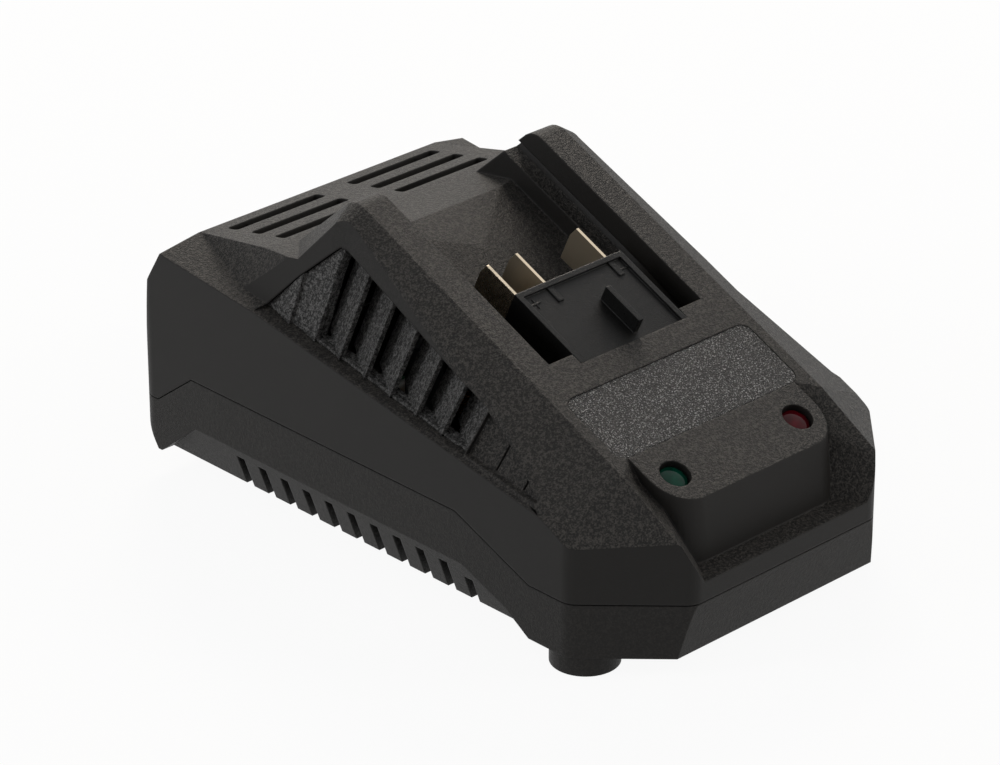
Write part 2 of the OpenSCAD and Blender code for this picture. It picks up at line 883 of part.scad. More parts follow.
// The winding on its bobbin, with the pins that reach down to the board
module transformer_winding() color("#b58a2e")
    on_board(transformer_place[0], transformer_place[1]) {
        low = core_lift + core_leg + fit_gap;
        difference() {
            translate([0, 0, low])
                cylinder(h = core_size[2] - 2 * core_leg - 2 * fit_gap,
                         d = core_size[0] - 2 * core_leg - 4 * fit_gap);
            cylinder(h = 60, d = core_post_d + 2 * fit_gap);
        }
        for (x = [-7.5, -2.5, 2.5, 7.5], y = [-9.5, 9.5])
            translate([x - 0.5, y - 0.5, 0]) cube([1, 1, low + 1]);
    }

module upright_can(d, h) {
    cylinder(h = h - 0.6, d = d);
    cylinder(h = h, d = d - 1.6);
}
module input_capacitor() color("#22262e") on_board(27, 17) upright_can(18, 32);
module output_capacitors() color("#22262e")
    for (y = [-38, -25]) on_board(-26, y) upright_can(10, 20);

choke_r = 9;
module line_choke() color("#9a6a2c")
    on_board(25, 38)
        translate([0, 0, 5.5])
            rotate_extrude() translate([choke_r - 3.6, 0]) circle(r = 3.6);

module filter_capacitor() color("#b9a13a")
    on_board(-24, 42) translate([-9, -4, 0]) cube([18, 8, 14]);

module fuse() color("#c9c9c4")
    on_board(-2, 44) translate([-10, 0, 3]) rotate([0, 90, 0]) {
        cylinder(h = 20, d = 5);
        for (x = [-0.3, 15.3]) translate([0, 0, x]) cylinder(h = 5, d = 5.6);
    }

module bridge_rectifier() color("#1f1f20")
    on_board(28, -1) {
        translate([-8, -2, 4]) cube([16, 4, 14]);
        for (x = [-6, -2, 2, 6]) translate([x - 0.4, -0.4, 0]) cube([0.8, 0.8, 5]);
    }

sink_w = 46;
sink_h = 20;
sink_y = -17;
module heat_sink() color("#9fa3a6")
    on_board(0, sink_y) {
        translate([-sink_w / 2, 0, 0]) cube([sink_w, 2, sink_h]);
        for (x = [-sink_w / 2 : 6.2 : sink_w / 2 - 1])
            translate([x, 0, 0]) cube([1.6, 9, sink_h]);
    }

// A flat power package that stands against the heat sink
module package() {
    translate([-5, -4.5, 6]) cube([10, 4.4, 9]);
    translate([-5, -1.4, 15]) cube([10, 1.3, 6]);
    for (x = [-2.5, 0, 2.5]) translate([x - 0.35, -2.7, 0]) cube([0.7, 0.6, 6.5]);
}
module power_transistor() color("#1f1f20") on_board(-13, sink_y) package();
module output_diode() color("#1f1f20") on_board(13, sink_y) package();

// ---------- status indicators ----------

ind_board_z = -lens_sunk - lens_h - 9;
module indicator_board() color("#2f5d3a")
    on_dock() translate([-26, -lens_place - 5, ind_board_z - board_t])
        cube([52, 10, board_t]);

module indicator_leds() color("#d8d8d0")
    for (side = [-1, 1])
        on_dock() translate([side * lens_x, -lens_place, ind_board_z + 0.05]) {
            cylinder(h = 5.9, d = 5);
            translate([0, 0, 5.9]) sphere(2.5);
            cylinder(h = 1, d = 5.8);
        }

upper_casing();
lower_casing();
side_grille_left();
side_grille_right();
front_label();
green_status_lens();
red_status_lens();
terminal_block();
blade_positive();
blade_signal();
blade_negative();
terminal_leads();
terminal_block_screws();
casing_screws();
board_screws();
cable_gland();
circuit_board();
transformer_core();
transformer_winding();
input_capacitor();
output_capacitors();
line_choke();
filter_capacitor();
fuse();
bridge_rectifier();
heat_sink();
power_transistor();
output_diode();
indicator_board();
indicator_leds();
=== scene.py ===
import math

import bpy
import bmesh
from mathutils import Matrix, Vector


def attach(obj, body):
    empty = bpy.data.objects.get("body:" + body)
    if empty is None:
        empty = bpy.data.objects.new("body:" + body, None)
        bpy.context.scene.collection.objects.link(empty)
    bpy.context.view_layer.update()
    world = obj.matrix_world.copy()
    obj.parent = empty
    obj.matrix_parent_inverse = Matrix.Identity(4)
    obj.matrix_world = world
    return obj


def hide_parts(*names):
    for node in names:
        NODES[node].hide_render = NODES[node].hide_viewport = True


# A power tool battery charger on a white floor, seen as in its photograph

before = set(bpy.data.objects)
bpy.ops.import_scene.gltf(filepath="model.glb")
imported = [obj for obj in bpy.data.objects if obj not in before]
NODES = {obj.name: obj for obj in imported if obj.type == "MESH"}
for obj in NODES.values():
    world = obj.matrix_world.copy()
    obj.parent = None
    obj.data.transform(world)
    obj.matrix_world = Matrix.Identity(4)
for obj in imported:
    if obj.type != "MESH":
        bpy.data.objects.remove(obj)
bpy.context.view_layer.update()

# Sizes and places are in mm, unless a comment says otherwise. Depth is Y, and grows to the rear.
MM = 0.001

# ---------- camera ----------

CAMERA_AT = Vector((-691.9, -707.2, 531.3)) * MM
LOOK_AT = Vector((0.0, 9.95, 31.4)) * MM
FOCAL_LENGTH = 161.1
SENSOR_WIDTH = 36.0
NEAREST_SEEN = 0.01       # in metres


def turned_to(place, aim):
    """The rotation of a camera or light that stands at a place and looks at aim."""
    return (Vector(aim) - Vector(place)).to_track_quat("-Z", "Y").to_euler()


def add_camera():
    bpy.context.scene.view_settings.view_transform = "Standard"
    data = bpy.data.cameras.new("photo_camera")
    data.lens = FOCAL_LENGTH
    data.sensor_width = SENSOR_WIDTH
    data.sensor_fit = "HORIZONTAL"
    data.clip_start = NEAREST_SEEN
    camera = bpy.data.objects.new("photo_camera", data)
    camera.location = CAMERA_AT
    camera.rotation_euler = turned_to(CAMERA_AT, LOOK_AT)
    bpy.context.collection.objects.link(camera)
    bpy.context.scene.camera = camera


# ---------- node helpers ----------


class Tree:
    """A material's node tree, with short calls for the nodes that are used here."""

    EDGE_SAMPLES = 6

    def __init__(self, name):
        self.material = bpy.data.materials.new(name)
        self.material.use_nodes = True
        self.nodes = self.material.node_tree.nodes
        self.links = self.material.node_tree.links
        self.nodes.clear()
        self.out = self.nodes.new("ShaderNodeOutputMaterial")
        self.shader = self.nodes.new("ShaderNodeBsdfPrincipled")
        self.links.new(self.shader.outputs[0], self.out.inputs["Surface"])

    def put(self, socket, value):
        """Links a value that comes from another node, or sets a plain one."""
        if isinstance(value, bpy.types.NodeSocket):
            self.links.new(value, socket)
        else:
            socket.default_value = value

    def set(self, **sockets):
        """Puts values into the shader's sockets, named with underscores for spaces."""
        for name, value in sockets.items():
            self.put(self.shader.inputs[name.replace("_", " ")], value)

    def coords(self):
        return self.nodes.new("ShaderNodeTexCoord").outputs["Object"]

    def noise(self, grain_mm, detail=2.0, rough=0.5):
        """Noise whose grain is about grain_mm across."""
        node = self.nodes.new("ShaderNodeTexNoise")
        node.inputs["Scale"].default_value = 1 / (grain_mm * MM)
        node.inputs["Detail"].default_value = detail
        node.inputs["Roughness"].default_value = rough
        self.links.new(self.coords(), node.inputs["Vector"])
        return node.outputs["Fac"]

    def cells(self, cell_mm):
        """The distance from the middles of cells that are about cell_mm across."""
        node = self.nodes.new("ShaderNodeTexVoronoi")
        node.inputs["Scale"].default_value = 1 / (cell_mm * MM)
        self.links.new(self.coords(), node.inputs["Vector"])
        return node.outputs["Distance"]

    def math(self, kind, a, b, c=0.0):
        """The result of an operation on a and b, and on c where it takes three."""
        node = self.nodes.new("ShaderNodeMath")
        node.operation = kind
        for socket, value in zip(node.inputs, (a, b, c)):
            self.put(socket, value)
        return node.outputs[0]

    def span(self, value, low, high, to_low=0.0, to_high=1.0):
        """Maps low..high to to_low..to_high, smoothly and clamped."""
        node = self.nodes.new("ShaderNodeMapRange")
        node.interpolation_type = "SMOOTHSTEP"
        for socket, given in zip(node.inputs, (value, low, high, to_low, to_high)):
            self.put(socket, given)
        return node.outputs[0]

    def blend(self, factor, a, b):
        """a where factor is 0, and b where it is 1."""
        node = self.nodes.new("ShaderNodeMix")
        node.data_type = "FLOAT"
        self.put(node.inputs[0], factor)
        self.put(node.inputs[2], a)
        self.put(node.inputs[3], b)
        return node.outputs[0]

    def ramp(self, factor, stops):
        """A blend of two colours. Each stop is a place along factor and a colour."""
        node = self.nodes.new("ShaderNodeValToRGB")
        for element, (place, colour) in zip(node.color_ramp.elements, stops):
            element.position = place
            element.color = (*colour, 1.0)
        self.put(node.inputs[0], factor)
        return node.outputs[0]

    def shades(self, factor, colour, *stops):
        """A blend of two shades of a colour. Each stop is a place along factor and a share."""
        return self.ramp(
            factor, [(place, tuple(min(1, c * share) for c in colour)) for place, share in stops]
        )

    def scaled(self, colour, factor):
        """A colour made lighter or darker by factor."""
        node = self.nodes.new("ShaderNodeVectorMath")
        node.operation = "SCALE"
        node.inputs[0].default_value = colour[:3]
        self.put(node.inputs["Scale"], factor)
        return node.outputs[0]

    def round_edges(self, radius_mm):
        """A normal that makes edges look rounded."""
        node = self.nodes.new("ShaderNodeBevel")
        node.samples = self.EDGE_SAMPLES
        node.inputs["Radius"].default_value = radius_mm * MM
        return node.outputs[0]

    def bump(self, height, depth_mm, normal=None):
        node = self.nodes.new("ShaderNodeBump")
        self.put(node.inputs["Distance"], depth_mm * MM)
        self.put(node.inputs["Height"], height)
        if normal is not None:
            self.links.new(normal, node.inputs["Normal"])
        return node.outputs[0]

    def facing_up(self, low, high):
        """1 on faces that look upward, from the true normal of the surface."""
        geometry = self.nodes.new("ShaderNodeNewGeometry")
        split = self.nodes.new("ShaderNodeSeparateXYZ")
        self.links.new(geometry.outputs["True Normal"], split.inputs[0])
        return self.span(split.outputs[2], low, high)


def grey(value, warm=0.0):
    """A grey whose red is raised and whose blue is lowered by the share warm."""
    return (value * (1 + warm), value, value * (1 - warm), 1.0)


# ---------- materials ----------

SHEEN = 0.17              # specular level of the black plastic and of the label
BLACK = grey(0.0105, 0.09)
# The grille's grey is lighter than the casing's black: painted light, for the light that its textured
# slats catch.
GRILLE_LIT_GREY = grey(0.027, 0.02)
BLOCK_BLACK = grey(0.0045, 0.03)
UP = (0.3, 0.5)           # how far up a face looks where the spark texture and its painted light start, and where they are full

SPARK_GRAIN = 0.42        # width of the spark texture's own grain
SPARK_CLUMP = 0.95        # width of the clumps that it gathers in
CLUMP_SHARE = 0.55        # height of the clumps, as a share of the grain's
FINE_GRAIN = 0.16         # width of the matt finish's grain
FINE_SHARE = 0.12         # its height, as a share of the spark texture's
TEXTURE_DEPTH = 0.42
CLOUD = 22.0              # width of the faint clouds in the colour
CLOUD_TONE = (0.3, 0.85)  # what a cloud adds to the colour at most, and what it adds to
PAINTED_LIGHT_TONE = (0.85, 1.15)  # painted light: how light the colour is without the spark texture, and with it; on the casing that texture lies on the faces that look up
PAINTED_SPECK = (0.66, 0.98)      # height of the grain where a painted glint starts, and where it is full
PAINTED_SPECK_TONE = (0.45, 4.0)  # how light the colour is beside a painted glint, and on it: painted highlights in the spark texture


def moulded(name, colour, texture, edge_mm, up=None, rough=0.5):
    """Black plastic with a fine matt finish. texture is the strength of its coarse spark texture,
    which lies on every face, or only on those that look up if up is given. Where it lies, the
    colour has painted glints on its grain, and painted light that makes it lighter."""
    t = Tree(name)
    texture_and_painted_light = t.math("MULTIPLY", texture, t.facing_up(*up) if up else 1.0)
    spark = t.noise(SPARK_GRAIN, detail=3.0, rough=0.55)
    clump = t.noise(SPARK_CLUMP, detail=1.0)
    grain = t.math("ADD", spark, t.math("MULTIPLY", clump, CLUMP_SHARE))
    fine = t.noise(FINE_GRAIN, rough=0.6)
    height = t.math("ADD", t.math("MULTIPLY", grain, texture_and_painted_light), t.math("MULTIPLY", fine, FINE_SHARE))
    normal = t.bump(height, TEXTURE_DEPTH, t.round_edges(edge_mm))
    tone = t.math("MULTIPLY_ADD", t.noise(CLOUD, detail=3.0), *CLOUD_TONE)
    # Painted glints: the colour is lighter on the peaks of the grain, and darker beside them.
    painted_speck = t.span(grain, *PAINTED_SPECK, *PAINTED_SPECK_TONE)
    tone = t.math("MULTIPLY", tone, t.blend(texture_and_painted_light, 1.0, painted_speck))
    # Painted light: the textured faces, which on the casing look up, are lighter than the rest.
    tone = t.math("MULTIPLY", tone, t.blend(texture_and_painted_light, *PAINTED_LIGHT_TONE))
    t.set(
        Base_Color=t.scaled(colour, tone),
        Roughness=t.span(fine, 0.2, 0.8, rough - 0.05, rough + 0.06),
        Specular_IOR_Level=SHEEN,
        Normal=normal,
    )
    return t.material


LABEL_CELL = 0.42         # width of the label's dimples
LABEL_GRAIN = 0.35
LABEL_DEPTH = 0.22
LABEL_EDGE = 0.25
PAINTED_GLINT_GRAIN = 0.36        # width of its painted glints
PAINTED_GLINT = (0.53, 0.72)      # height of their noise where a painted glint starts, and where it is full
LABEL_DARK = (0.005, 0.005, 0.0055)
# The colour of the painted glints
LABEL_GLINT_COLOUR = (0.3, 0.3, 0.3)


def label_finish():
    """The front label's coarse foil, whose sparkle is painted glints in its colour."""
    t = Tree("label_foil")
    height = t.math("ADD", t.cells(LABEL_CELL), t.noise(LABEL_GRAIN, rough=0.6))
    normal = t.bump(height, LABEL_DEPTH, t.round_edges(LABEL_EDGE))
    painted_glint = t.span(t.noise(PAINTED_GLINT_GRAIN, detail=1.0), *PAINTED_GLINT)
    t.set(
        Base_Color=t.ramp(painted_glint, [(0.0, LABEL_DARK), (1.0, LABEL_GLINT_COLOUR)]),
        Roughness=0.4,
        Specular_IOR_Level=SHEEN,
        Normal=normal,
    )
    return t.material


METAL_GRAIN = 0.25
METAL_SMEAR = 3.0
METAL_DEPTH = 0.01
METAL_EDGE = 0.1


def metal(name, colour, rough):
    """Bare metal, slightly smeared, with a fine grain."""
    t = Tree(name)
    grain = t.noise(METAL_GRAIN, detail=3.0, rough=0.6)
    smear = t.noise(METAL_SMEAR)
    t.set(
        Base_Color=t.shades(smear, colour, (0.3, 0.8), (0.7, 1.08)),
        Metallic=1.0,
        Roughness=t.span(grain, 0.3, 0.7, rough - 0.06, rough + 0.1),
        Normal=t.bump(grain, METAL_DEPTH, t.round_edges(METAL_EDGE)),
    )
    return t.material


LENS_CLOUD = 2.5
LENS_EDGE = 0.25


def lens(name, colour):
    """A dark glossy lens, with no light behind it."""
    t = Tree(name)
    t.set(
        Base_Color=t.shades(t.noise(LENS_CLOUD, detail=1.0), colour, (0.3, 0.7), (0.7, 1.3)),
        Roughness=0.06,
        Specular_IOR_Level=0.14,
        Normal=t.round_edges(LENS_EDGE),
    )
    return t.material


PLAIN_GRAIN = 0.6
PLAIN_CLOUD = 4.0
PLAIN_DEPTH = 0.02


def plain(name, colour, rough):
    """A part inside the casing: one colour, slightly clouded, with a fine grain."""
    t = Tree(name)
    grain = t.noise(PLAIN_GRAIN, detail=3.0)
    t.set(
        Base_Color=t.shades(t.noise(PLAIN_CLOUD), colour, (0.25, 0.8), (0.75, 1.2)),
        Roughness=t.span(grain, 0.2, 0.8, rough - 0.06, rough + 0.08),
        Normal=t.bump(grain, PLAIN_DEPTH),
    )
    return t.material


WAVE_PITCH = 0.314        # distance between the bands of Blender's wave texture at scale 1
WIRE_ROUND = 0.4          # depth between two turns, as a share of their pitch


def wound(name, colour, pitch_mm):
    """Enamelled wire in close turns."""
    t = Tree(name)
    wave = t.nodes.new("ShaderNodeTexWave")
    wave.bands_direction = "Z"
    wave.inputs["Scale"].default_value = WAVE_PITCH / (pitch_mm * MM)
    t.links.new(t.coords(), wave.inputs["Vector"])
    turns = wave.outputs["Fac"]
    t.set(
        # Painted shade: the colour darkens in the grooves between the turns.
        Base_Color=t.shades(turns, colour, (0.0, 0.35), (0.6, 1.0)),
        Roughness=0.35,
        Metallic=0.6,
        Normal=t.bump(turns, pitch_mm * WIRE_ROUND),
    )
    return t.material


def dress(obj, material):
    obj.data.materials.clear()
    obj.data.materials.append(material)


def dress_nodes():
    """Dresses the nodes. The others keep the plain materials that model.glb gives them: the signal and
    negative blades, the casing and board screws, the indicator board, the output
    capacitors, the power transistor and the output diode."""
    grille = moulded("grille", GRILLE_LIT_GREY, texture=1.0, edge_mm=0.4)
    finishes = {
        "upper_casing": moulded("casing_upper", BLACK, texture=1.0, edge_mm=0.7, up=UP),
        "lower_casing": moulded("casing_lower", BLACK, texture=0.25, edge_mm=0.6),
        "side_grille_left": grille,
        "side_grille_right": grille,
        "front_label": label_finish(),
        "green_status_lens": lens("green_lens", (0.0, 0.034, 0.02)),
        "red_status_lens": lens("red_lens", (0.06, 0.001, 0.004)),
        "terminal_block": moulded("block_plastic", BLOCK_BLACK, texture=0.12, edge_mm=0.35, rough=0.3),
        "blade_positive": metal("blade_metal", (0.62, 0.53, 0.40), rough=0.24),
        "terminal_leads": plain("lead_insulation", (0.3, 0.03, 0.02), rough=0.4),
        "terminal_block_screws": metal("screw_steel", (0.45, 0.45, 0.46), rough=0.3),
        "cable_gland": moulded("gland_rubber", grey(0.016), texture=0.1, edge_mm=0.4, rough=0.62),
        "circuit_board": plain("board_laminate", (0.02, 0.1, 0.045), rough=0.3),
        "transformer_core": plain("core_ferrite", (0.05, 0.05, 0.055), rough=0.55),
        "transformer_winding": wound("winding_copper", (0.5, 0.22, 0.08), pitch_mm=0.6),
        "input_capacitor": plain("capacitor_can", (0.02, 0.03, 0.06), rough=0.3),
        "line_choke": wound("choke_wire", (0.5, 0.25, 0.1), pitch_mm=0.8),
        "filter_capacitor": plain("film_case", (0.5, 0.36, 0.06), rough=0.35),
        "fuse": plain("fuse_glass", (0.5, 0.52, 0.5), rough=0.12),
        "bridge_rectifier": plain("package_plastic", (0.02, 0.02, 0.02), rough=0.45),
        "heat_sink": metal("sink_aluminium", (0.6, 0.61, 0.62), rough=0.4),
        "indicator_leds": plain("led_epoxy", (0.6, 0.6, 0.56), rough=0.2),
    }
    for name, finish in finishes.items():
        dress(NODES[name], finish)


# ---------- solids ----------

MERGE_BELOW = 0.001                  # points of a CAD mesh that lie closer than this are one
SMOOTH_BELOW = math.radians(6)       # faces that meet at less than this are shaded as one


def keep_modified(obj):
    """Gives obj the mesh that its modifiers make, and takes them off."""
    graph = bpy.context.evaluated_depsgraph_get()
    data = bpy.data.meshes.new_from_object(obj.evaluated_get(graph))
    obj.modifiers.clear()
    old, obj.data = obj.data, data
    data.name = obj.name
    bpy.data.meshes.remove(old)
    return obj


def finish_mesh(obj):
    """Shades curved faces smoothly up to sharp edges, with large faces weighing more than slivers."""
    obj.data.shade_smooth()
    obj.data.set_sharp_from_angle(angle=SMOOTH_BELOW)
    modifier = obj.modifiers.new("normals", "WEIGHTED_NORMAL")
    modifier.mode = "FACE_AREA"
    modifier.keep_sharp = True
    return keep_modified(obj)


def combine(obj, other, operation):
    """Joins or cuts obj with another solid, which is used up."""
    modifier = obj.modifiers.new("combine", "BOOLEAN")
    modifier.operation = operation
    modifier.solver = "MANIFOLD"
    modifier.object = other
    keep_modified(obj)
    bpy.data.objects.remove(other)
    return obj


def merged_copy(node):
    """A copy of a node's mesh, as one closed surface."""
    mesh = bmesh.new()
    mesh.from_mesh(NODES[node].data)
    bmesh.ops.remove_doubles(mesh, verts=mesh.verts, dist=MERGE_BELOW * MM)
    return mesh


def as_object(mesh, name="tool"):
    data = bpy.data.meshes.new(name)
    mesh.to_mesh(data)
    mesh.free()
    obj = bpy.data.objects.new(name, data)
    bpy.context.collection.objects.link(obj)
    return obj


def box(size):
    """A box with its middle at the origin."""
    mesh = bmesh.new()
    bmesh.ops.create_cube(mesh, size=MM)
    bmesh.ops.scale(mesh, verts=mesh.verts, vec=size)
    return mesh


def round_off(mesh, edges, radius, segments):
    bmesh.ops.bevel(
        mesh, geom=edges, offset=radius * MM, segments=segments, affect="EDGES", profile=0.5,
    )


def prism(outline, x0, x1):
    """A solid with an outline in Y and Z, from x0 to x1."""
    mesh = bmesh.new()
    base = mesh.faces.new([mesh.verts.new((x0 * MM, y * MM, z * MM)) for y, z in outline])
    swept = bmesh.ops.extrude_face_region(mesh, geom=[base])
    moved = [v for v in swept["geom"] if isinstance(v, bmesh.types.BMVert)]
    bmesh.ops.translate(mesh, verts=moved, vec=((x1 - x0) * MM, 0, 0))
    bmesh.ops.recalc_face_normals(mesh, faces=mesh.faces)
    return as_object(mesh)


def tilted(depth, height, tilt):
    """Moves things from the origin to a surface that is tilted about X. The surface passes
    the middle plane at the given depth and height."""
    return Matrix.Translation(Vector((0, depth, height)) * MM) @ Matrix.Rotation(tilt, 4, "X")


def shifted(x, y, z):
    return Matrix.Translation(Vector((x, y, z)) * MM)


# ---------- sides of the casing ----------

SIDE_SPAN = (30.0, 56.0)             # distances from the middle, from inside the side to past it
CREASE = 34.6                        # distance from the middle to the skins' inner edge
LEDGE = (-62.6, 37.73, 0.18)         # depth, height and rise of the side walls' top edge
LOUVRE_TOP = (-30.0, 54.85, 0.434)   # depth, height and rise of the open louvres' top edge
BROW_REACH = (-31.0, 21.0)           # depths between which the brow's skin lies over the louvres
FRONT_REACH = (-61.5, -27.0)         # depths between which the front skin lies
SKIN_LIFT = 0.25                     # how far the front skin starts over the ledge

LOUVRE_PITCH = 9.2
LAST_CREST = -30.3                   # depth of the last open slat's crest, at the ledge
CREST_LEAN = -0.12                   # a crest's change of depth with height: it leans forward
CREST_HEIGHTS = (36.0, 60.0)         # heights that a crest band spans, past the front louvres' own
PANEL_END = LAST_CREST - 0.1         # the panel ends ahead of the last crest,
GRILLE_START = LAST_CREST + 0.1      # the grille starts behind it,
SKIN_END = LAST_CREST + 0.2          # and the front skin laps over the grille
BEHIND = 20.0                        # width of the band that clears what lies behind a crest
AHEAD = 40.1                         # width of the band that clears the closed louvres

# Depth and height of the panel's curved top edge and of its rounded tip
PANEL_TOP = [(-27.0, 56.0), (-35.0, 52.4), (-42.0, 48.9), (-48.0, 45.3), (-52.0, 42.6)]
PANEL_TIP = [(-53.8, 41.4), (-54.2, 40.9), (-53.8, 40.6)]
PANEL_FLOOR = (-52.0, -27.0)         # depths of the ends of its straight floor
PANEL_LIFT = 1.0                     # how far the floor lies over the ledge
PANEL_SINK = 1.6                     # how far the panel lies under the skin
LINE_COUNT = 2                       # lines between the panel's closed louvres
LINE_WIDTH = 0.55
LINE_SINK = 0.9                      # how far a line is cut into the panel

SLAT_STEP = (1.3, 2.7)               # how far a slat's second step lies inward and rearward
STEP_FLOOR = (-29.0, 26.0)           # depths of the ends of the steps' lower limit
STEP_LIFT = 1.3                      # how far that limit lies over the ledge
STEP_TOP = [(23.0, 76.0), (-29.5, 53.4)]   # depths and heights of the ends of their upper limit


def over_ledge(y, lift):
    """The depth and height of a point over the side walls' top edge."""
    return (y, LEDGE[1] + (y - LEDGE[0]) * LEDGE[2] + lift)


def side_span(side):
    return sorted(side * x for x in SIDE_SPAN)


def crest_band(side, y, width):
    """An upright slab that leans as the louvre crests do. Its front meets the ledge at y."""
    low, high = CREST_HEIGHTS
    ledge = over_ledge(y, 0.0)[1]
    at = {z: y + CREST_LEAN * (z - ledge) for z in (low, high)}
    outline = [(at[low], low), (at[low] + width, low), (at[high] + width, high), (at[high], high)]
    return prism(outline, *side_span(side))


def skin_between(side, depths, edge):
    """The convex skin of the upper casing's side between two depths, outside the crease
    and over an edge, which is given as the depth and height of a point and the rise."""
    front, rear = depths
    depth, height, rise = edge
    mesh = merged_copy("upper_casing")
    for place, outward in (
        ((0, front, 0), (0, -1, 0)),
        ((0, rear, 0), (0, 1, 0)),
        ((side * CREASE, 0, 0), (-side, 0, 0)),
        ((0, depth, height), (0, rise, -1)),
    ):
        bmesh.ops.bisect_plane(
            mesh, geom=mesh.verts[:] + mesh.edges[:] + mesh.faces[:],
            plane_co=Vector(place) * MM, plane_no=Vector(outward), clear_outer=True,
        )
    hull = bmesh.ops.convex_hull(mesh, input=mesh.verts)
    faces = {f for f in hull["geom"] if isinstance(f, bmesh.types.BMFace)}
    bmesh.ops.delete(mesh, geom=[f for f in mesh.faces if f not in faces], context="FACES")
    bmesh.ops.delete(mesh, geom=[v for v in mesh.verts if not v.link_faces], context="VERTS")
    bmesh.ops.recalc_face_normals(mesh, faces=mesh.faces)
    return as_object(mesh)


def brow_skin(side):
    """The smooth band over the open louvres, between their top edge and the crease."""
    return skin_between(side, BROW_REACH, LOUVRE_TOP)


def front_skin(side, sunk=0.0):
    """The smooth skin of the side ahead of the open louvres, moved inward by sunk."""
    depth, height, rise = LEDGE
    skin = skin_between(side, FRONT_REACH, (depth, height + SKIN_LIFT, rise))
    skin.data.transform(shifted(-side * sunk, 0, 0))
    return skin


def panel_solid(side):
    """The panel's outline, right through the side."""
    floor = [over_ledge(y, PANEL_LIFT) for y in PANEL_FLOOR]
    return prism(PANEL_TOP + PANEL_TIP + floor, *side_span(side))


def panel_cut(side):
    """What is cut from the smooth side: a shallow tapering panel with the louvre lines."""
    cut = combine(panel_solid(side), front_skin(side, PANEL_SINK), "DIFFERENCE")
    for count in range(1, LINE_COUNT + 1):
        line = crest_band(side, LAST_CREST - count * LOUVRE_PITCH, LINE_WIDTH)
        combine(line, panel_solid(side), "INTERSECT")
        combine(line, front_skin(side, PANEL_SINK + LINE_SINK), "DIFFERENCE")
        combine(cut, line, "UNION")
    return combine(cut, crest_band(side, PANEL_END, BEHIND), "DIFFERENCE")


def mend_side(shell, side):
    """Covers the ragged facets of one side with smooth skins, and cuts the panel into them."""
    combine(shell, brow_skin(side), "UNION")
    skin = combine(front_skin(side), crest_band(side, SKIN_END, BEHIND), "DIFFERENCE")
    combine(shell, skin, "UNION")
    combine(shell, panel_cut(side), "DIFFERENCE")


def slat_steps(side, node):
    """The second step of each open slat, behind and inside its crest."""
    steps = as_object(merged_copy(node))
    inward, rearward = SLAT_STEP
    steps.data.transform(shifted(-side * inward, rearward, 0))
    floor = [over_ledge(y, STEP_LIFT) for y in STEP_FLOOR]
    return combine(steps, prism(floor + STEP_TOP, *side_span(side)), "INTERSECT")


def grille_piece(side, node):
    """A side grille with its second steps, and without the closed louvres in front."""
    piece = as_object(merged_copy(node), node + "_slats")
    combine(piece, slat_steps(side, node), "UNION")
    combine(piece, crest_band(side, GRILLE_START - AHEAD, AHEAD), "DIFFERENCE")
    return finish_mesh(piece)


# ---------- rear deck ----------

DECK = (76.5, 63.4, math.radians(-11.5))   # depth and height of the deck's rear edge, and its tilt
TRIM = (96.0, 24.0, 20.0)                  # size of the box that cuts the spikes off over the deck
TRIM_AHEAD = 9.0                           # how far its middle lies ahead of the deck's rear edge
TRIM_GAP = 0.02                            # how far it starts over the deck
SLOT_LENGTH = 30.0
SLOT_WIDTH = 4.0
SLOT_CORNER = 1.0
SLOT_CUT = 16.0                            # height of the box that cuts a slot
SLOT_FROM_MIDDLE = 5.0                     # half the bridge between two slots
SLOT_FIRST = -6.6                          # place of the rearmost row of slots, along the deck
SLOT_PITCH = 9.1
SLOT_ROWS = 3


def deck_trim():
    """What is cut off over the deck."""
    mesh = box(TRIM)
    mesh.transform(shifted(0, -TRIM_AHEAD, TRIM[2] / 2 + TRIM_GAP))
    mesh.transform(tilted(*DECK))
    return as_object(mesh)


def deck_slot(side, row):
    """What is cut from the deck for one vent slot."""
    mesh = box((SLOT_LENGTH, SLOT_WIDTH, SLOT_CUT))
    upright = [e for e in mesh.edges if abs(e.verts[0].co.z - e.verts[1].co.z) > MM]
    round_off(mesh, upright, SLOT_CORNER, segments=4)
    across = side * (SLOT_LENGTH / 2 + SLOT_FROM_MIDDLE)
    mesh.transform(tilted(*DECK) @ shifted(across, SLOT_FIRST - row * SLOT_PITCH, 0))
    return as_object(mesh)


def casing_shell():
    """The upper casing, with its deck and both sides mended."""
    shell = as_object(merged_copy("upper_casing"), "upper_casing_shell")
    combine(shell, deck_trim(), "DIFFERENCE")
    for side in (-1, 1):
        for row in range(SLOT_ROWS):
            combine(shell, deck_slot(side, row), "DIFFERENCE")
        mend_side(shell, side)
    return finish_mesh(shell)


def dress_shell():
    for piece, node in (
        (casing_shell(), "upper_casing"),
        (grille_piece(-1, "side_grille_left"), "side_grille_left"),
        (grille_piece(1, "side_grille_right"), "side_grille_right"),
    ):
        dress(piece, NODES[node].data.materials[0])
        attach(piece, "root")
        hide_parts(node)


# ---------- marks on the terminal block ----------

DOCK = (-62.6, 47.8, math.radians(24.3))   # depth, height and tilt of the dock face
BLOCK_TOP = -0.8                           # the block's top inside its rim, from the dock face
PAD_ROUND = 0.1

# Places across and up the dock
BLADE_COVERS_AT = [(-7.6, 50.3), (13.2, 50.3)]
PLUS_AT = (-14.5, 49.2)
MINUS_AT = (15.3, 48.9)

BLADE_COVER = (1.7, 6.2, 0.8)
MARK_WIDTH = 0.45
MARK_HEIGHT = 0.44
PLUS_LENGTH = 3.2
MINUS_LENGTH = 2.6


def pad(size, place):
    """A low box with rounded edges, on the block's top."""
    mesh = box(size)
    round_off(mesh, mesh.edges[:], PAD_ROUND, segments=2)
    mesh.transform(tilted(*DOCK) @ shifted(*place, BLOCK_TOP))
    return mesh


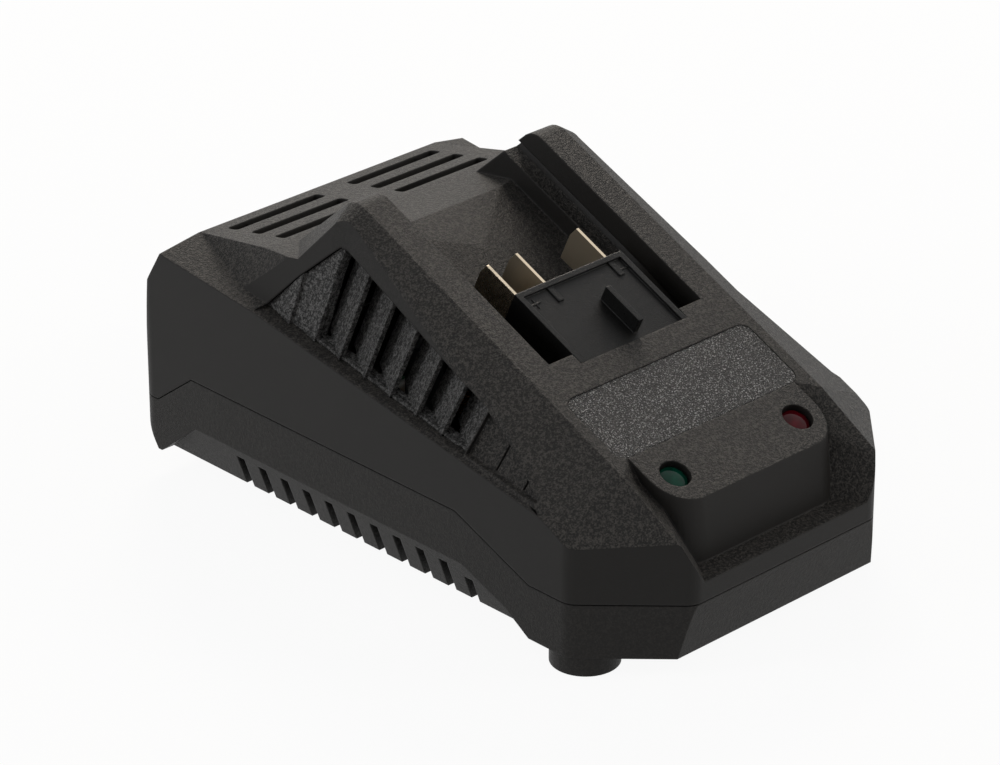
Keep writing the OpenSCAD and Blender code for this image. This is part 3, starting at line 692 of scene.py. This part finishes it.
def block_marks():
    """The covers over the roots of two blades, and the raised plus and minus of the poles."""
    finish = NODES["terminal_block"].data.materials[0]
    pieces = [("blade_cover", BLADE_COVER, place) for place in BLADE_COVERS_AT]
    pieces += [
        ("pole_mark", (PLUS_LENGTH, MARK_WIDTH, MARK_HEIGHT), PLUS_AT),
        ("pole_mark", (MARK_WIDTH, PLUS_LENGTH, MARK_HEIGHT), PLUS_AT),
        ("pole_mark", (MINUS_LENGTH, MARK_WIDTH, MARK_HEIGHT), MINUS_AT),
    ]
    for count, (name, size, place) in enumerate(pieces):
        piece = as_object(pad(size, place), f"{name}_{count}")
        dress(piece, finish)
        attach(piece, "root")


# ---------- stage, in metres ----------

WHITE = (1, 1, 1, 1)
SOFT_LIGHT = 0.35         # how strongly the white surroundings light the object
FLOOR_REACH = 3.0
FLOOR_GLOW = 0.93         # share of the floor that is plain white; the rest shows the shadow
AIM = (0, 0, 0.03)
SOFTBOXES = {             # place, width and height, watts, colour
    "back_softbox": ((0.75, 0.85, 0.85), (0.55, 0.35), 10.0, (1, 0.91, 0.8)),
    "left_softbox": ((-1.2, 0.55, 0.75), (0.35, 0.5), 6.0, (0.95, 0.97, 1)),
    "right_softbox": ((0.9, -0.9, 0.7), (0.3, 0.45), 5.0, (1, 0.95, 0.88)),
}


def seen_directly(nodes, links):
    """1 for the camera's own rays and for those that mirrors and glass send on."""
    path = nodes.new("ShaderNodeLightPath")
    seen = path.outputs["Is Camera Ray"]
    for ray in ("Is Glossy Ray", "Is Transmission Ray"):
        either = nodes.new("ShaderNodeMath")
        either.operation = "MAXIMUM"
        links.new(seen, either.inputs[0])
        links.new(path.outputs[ray], either.inputs[1])
        seen = either.outputs[0]
    return seen


def add_world():
    world = bpy.data.worlds.new("studio")
    bpy.context.scene.world = world
    world.use_nodes = True
    nodes, links = world.node_tree.nodes, world.node_tree.links
    nodes.clear()
    out = nodes.new("ShaderNodeOutputWorld")
    mix = nodes.new("ShaderNodeMixShader")
    for socket, strength in ((mix.inputs[1], SOFT_LIGHT), (mix.inputs[2], 1.0)):
        background = nodes.new("ShaderNodeBackground")
        background.inputs["Color"].default_value = WHITE
        background.inputs["Strength"].default_value = strength
        links.new(background.outputs[0], socket)
    links.new(seen_directly(nodes, links), mix.inputs[0])
    links.new(mix.outputs[0], out.inputs["Surface"])


def add_floor():
    mesh = bpy.data.meshes.new("floor")
    corners = [(x * FLOOR_REACH, y * FLOOR_REACH, 0) for x, y in ((-1, -1), (1, -1), (1, 1), (-1, 1))]
    mesh.from_pydata(corners, [], [(0, 1, 2, 3)])
    floor = bpy.data.objects.new("floor", mesh)
    bpy.context.collection.objects.link(floor)
    t = Tree("floor")
    t.set(Base_Color=(0.8, 0.8, 0.8, 1), Roughness=0.9)
    glow = t.nodes.new("ShaderNodeEmission")
    glow.inputs["Strength"].default_value = 1.0
    mix = t.nodes.new("ShaderNodeMixShader")
    t.put(mix.inputs[0], t.math("MULTIPLY", seen_directly(t.nodes, t.links), FLOOR_GLOW))
    t.put(mix.inputs[1], t.shader.outputs[0])
    t.put(mix.inputs[2], glow.outputs[0])
    t.put(t.out.inputs["Surface"], mix.outputs[0])
    dress(floor, t.material)


def add_lights():
    for name, (place, size, watts, colour) in SOFTBOXES.items():
        data = bpy.data.lights.new(name, "AREA")
        data.shape = "RECTANGLE"
        data.size, data.size_y = size
        data.energy = watts
        data.color = colour
        light = bpy.data.objects.new(name, data)
        light.location = place
        light.rotation_euler = turned_to(place, AIM)
        bpy.context.collection.objects.link(light)


add_camera()
dress_nodes()
dress_shell()
block_marks()
add_world()
add_floor()
add_lights()
